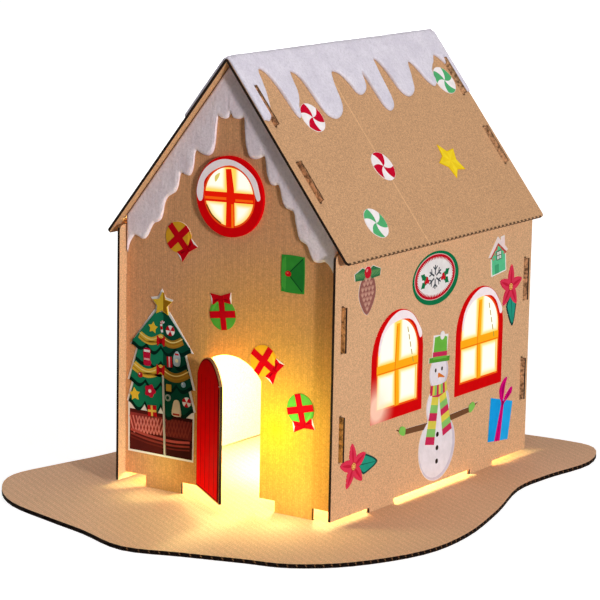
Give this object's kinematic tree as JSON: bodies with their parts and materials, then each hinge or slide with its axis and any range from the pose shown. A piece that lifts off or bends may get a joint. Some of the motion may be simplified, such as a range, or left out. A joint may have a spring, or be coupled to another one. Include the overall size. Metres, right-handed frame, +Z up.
{
  "type": "cardboard house",
  "caption": "Slotted and folded corrugated card house on a shaped card base, with felt snow, winter stickers, an open door flap, glowing windows and a battery lamp inside.",
  "frame": {"origin": "under the middle of the house, on the underside of the base board", "axes": "+Z up, -Y out of the front gable with the door, +X towards the wall that faces the camera"},
  "size_m": [0.2079, 0.2677, 0.1926],
  "materials": {
    "kraft_card": "matte kraft liner",
    "kraft_base": "matte kraft liner",
    "white_felt": "matte felt",
    "lit_window": "printed sticker lit from behind",
    "red_print": "satin printed sticker",
    "green_print": "satin printed sticker",
    "yellow_print": "satin printed sticker",
    "brown_print": "satin printed sticker",
    "white_print": "satin printed sticker",
    "blue_print": "satin printed sticker",
    "lamp_plastic": "gloss",
    "lamp_light": "frosted, lit"
  },
  "bodies": {
    "root": {"base_board": "kraft_base", "front_wall": "kraft_card", "back_wall": "kraft_card", "left_wall": "kraft_card", "right_wall": "kraft_card", "roof": "kraft_card", "roof_snow": "white_felt", "gable_snow": "white_felt", "round_window": "lit_window", "right_front_window": "lit_window", "right_back_window": "lit_window", "left_front_window": "lit_window", "left_back_window": "lit_window", "door_sticker": "red_print", "tree_sticker": "green_print", "envelope_sticker": "green_print", "yellow_parcel_high": "yellow_print", "green_parcel_high": "green_print", "yellow_parcel_low": "yellow_print", "green_parcel_low": "green_print", "pine_cone_sticker": "brown_print", "badge_sticker": "green_print", "cottage_sticker": "green_print", "poinsettia_high": "red_print", "poinsettia_low": "red_print", "snowman_sticker": "white_print", "gift_box_sticker": "blue_print", "red_sweet_high": "white_print", "red_sweet_low": "white_print", "green_sweet_low": "white_print", "green_sweet_high": "white_print", "star_sticker": "yellow_print", "lamp_housing": "lamp_plastic", "lamp_dome": "lamp_light"}
  },
  "joints": []
}
